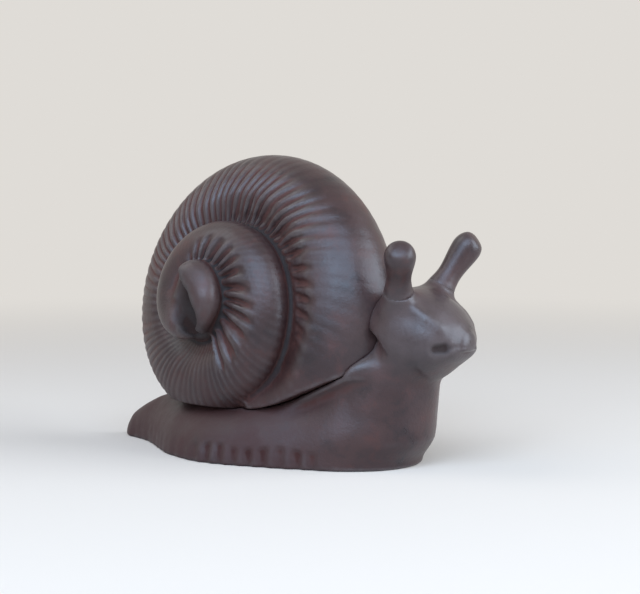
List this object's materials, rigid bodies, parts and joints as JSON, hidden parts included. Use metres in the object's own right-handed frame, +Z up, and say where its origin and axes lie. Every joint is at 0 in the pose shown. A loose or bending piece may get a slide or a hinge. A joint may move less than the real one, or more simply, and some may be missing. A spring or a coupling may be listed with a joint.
{
  "type": "snail figurine",
  "caption": "Cast-iron snail ornament with a ribbed coiled shell screwed to a hollow body and bulb-tipped eye stalks pinned into its head.",
  "frame": {"origin": "middle of the overall box, on the surface that the foot stands on", "axes": "+X the way the snail faces, +Y its left side, +Z up"},
  "size_m": [0.1244, 0.0613, 0.0867],
  "materials": {
    "iron": "dark brown oiled, satin",
    "screw_steel": "dull zinc"
  },
  "bodies": {
    "root": {"body": "iron", "shell": "iron", "left_eye_stalk": "iron", "right_eye_stalk": "iron", "shell_screws": "screw_steel", "screw_washers": "screw_steel"}
  },
  "joints": []
}
